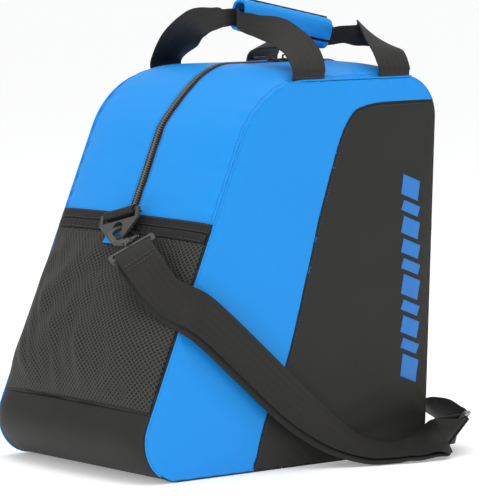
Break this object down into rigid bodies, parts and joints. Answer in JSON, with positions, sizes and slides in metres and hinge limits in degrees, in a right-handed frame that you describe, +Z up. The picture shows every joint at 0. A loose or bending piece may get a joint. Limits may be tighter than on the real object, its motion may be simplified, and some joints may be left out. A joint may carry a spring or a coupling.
{
  "type": "ski boot bag",
  "caption": "Free-standing ski boot bag with curved two-tone shell, mesh front pocket, twin-slider zip, padded grip and clip-on shoulder strap",
  "frame": {"origin": "centre of the base's footprint, on the floor", "axes": "+X towards the rear panel with the plain upright back, -X towards the sloped front with the mesh pocket, +Z up, -Y towards the side that the shoulder strap hangs on"},
  "size_m": [0.458, 0.3287, 0.4821],
  "materials": {
    "blue_fabric": "matte",
    "charcoal_fabric": "matte",
    "mesh_fabric": "matte",
    "black_trim": "matte",
    "zip_chain": "satin",
    "webbing": "matte",
    "hard_plastic": "satin",
    "black_plastic": "satin",
    "spring_steel": "brushed",
    "stiffener": "matte"
  },
  "bodies": {
    "bag": {"side_panel_front_near": "blue_fabric", "side_panel_front_far": "blue_fabric", "upper_gusset_near": "blue_fabric", "upper_gusset_far": "blue_fabric", "pocket_patch": "blue_fabric", "grip_wrap": "blue_fabric", "side_panel_rear_near": "charcoal_fabric", "side_panel_rear_far": "charcoal_fabric", "front_lower_panel": "charcoal_fabric", "rear_lower_panel": "charcoal_fabric", "base_panel": "charcoal_fabric", "mesh_pocket": "mesh_fabric", "front_tape": "black_trim", "rear_tape": "black_trim", "seam_binding_near": "black_trim", "seam_binding_far": "black_trim", "pocket_binding": "black_trim", "zip_tape_near": "black_trim", "zip_tape_far": "black_trim", "zip_chain": "zip_chain", "strap_long": "webbing", "strap_short": "webbing", "handle_near": "webbing", "handle_far": "webbing", "ring_tab_front": "webbing", "ring_tab_rear": "webbing", "base_board": "stiffener"},
    "front_slider": {"slider_front": "black_plastic"},
    "front_pull": {"pull_front": "black_plastic"},
    "rear_slider": {"slider_rear": "black_plastic"},
    "rear_pull": {"pull_rear": "black_plastic"},
    "front_ring": {"ring_front": "hard_plastic", "hook_front": "hard_plastic"},
    "front_loop": {"strap_loop_front": "hard_plastic"},
    "front_gate": {"gate_front": "black_plastic", "gate_spring_front": "spring_steel"},
    "rear_ring": {"ring_rear": "hard_plastic", "hook_rear": "hard_plastic"},
    "rear_loop": {"strap_loop_rear": "hard_plastic"},
    "rear_gate": {"gate_rear": "black_plastic", "gate_spring_rear": "spring_steel"},
    "adjuster": {"strap_adjuster": "black_plastic"},
    "grip_flap": {"grip_flap": "blue_fabric"}
  },
  "joints": [
    {"name": "front_zip_slide", "type": "slide", "parent": "bag", "child": "front_slider", "axis": [-1, 0, 0], "range_m": [0, 0.06]},
    {"name": "rear_zip_slide", "type": "slide", "parent": "bag", "child": "rear_slider", "axis": [1, 0, 0], "range_m": [0, 0.05]},
    {"name": "front_pull_hinge", "type": "hinge", "parent": "front_slider", "child": "front_pull", "pos_m": [0.0923, 0, 0.4187], "axis": [0, 1, 0], "range_deg": [0, 55]},
    {"name": "rear_pull_hinge", "type": "hinge", "parent": "rear_slider", "child": "rear_pull", "pos_m": [0.1142, 0, 0.4187], "axis": [0, -1, 0], "range_deg": [0, 25]},
    {"name": "front_ring_hinge", "type": "hinge", "parent": "bag", "child": "front_ring", "pos_m": [-0.11033, 0.0015, 0.26273], "axis": [-0.1084, 0.9613, -0.2535], "range_deg": [0, 25], "deforming": ["strap_long"]},
    {"name": "front_swivel", "type": "hinge", "parent": "front_ring", "child": "front_loop", "pos_m": [-0.1325, -0.04433, 0.23266], "axis": [-0.3348, -0.8904, -0.3084], "range_deg": [-10, 10], "deforming": ["strap_long"]},
    {"name": "front_gate_hinge", "type": "hinge", "parent": "front_ring", "child": "front_gate", "pos_m": [-0.11697, -0.03355, 0.24174], "axis": [-0.4173, -0.1533, 0.8957], "range_deg": [0, 5.5], "stiffness_Nm_per_rad": 0.02},
    {"name": "rear_ring_hinge", "type": "hinge", "parent": "bag", "child": "rear_ring", "pos_m": [0.23345, 0, 0.24107], "axis": [0, -1, 0], "range_deg": [0, 25], "deforming": ["strap_short"]},
    {"name": "rear_swivel", "type": "hinge", "parent": "rear_ring", "child": "rear_loop", "pos_m": [0.23345, 0, 0.17717], "axis": [0, 0, -1], "range_deg": [-15, 15], "deforming": ["strap_short"]},
    {"name": "rear_gate_hinge", "type": "hinge", "parent": "rear_ring", "child": "rear_gate", "pos_m": [0.22583, 0.00847, 0.19477], "axis": [0.7434, 0.6689, 0], "range_deg": [0, 18], "stiffness_Nm_per_rad": 0.02},
    {"name": "adjuster_tilt", "type": "hinge", "parent": "bag", "child": "adjuster", "pos_m": [0.203, -0.169, 0.0238], "axis": [0.4081, -0.4281, 0.8063], "range_deg": [-8, 8], "deforming": ["strap_long", "strap_short"]},
    {"name": "grip_flap_hinge", "type": "hinge", "parent": "bag", "child": "grip_flap", "pos_m": [0.10457, -0.012, 0.44664], "axis": [0.9816, 0, -0.1908], "range_deg": [0, 35]}
  ]
}
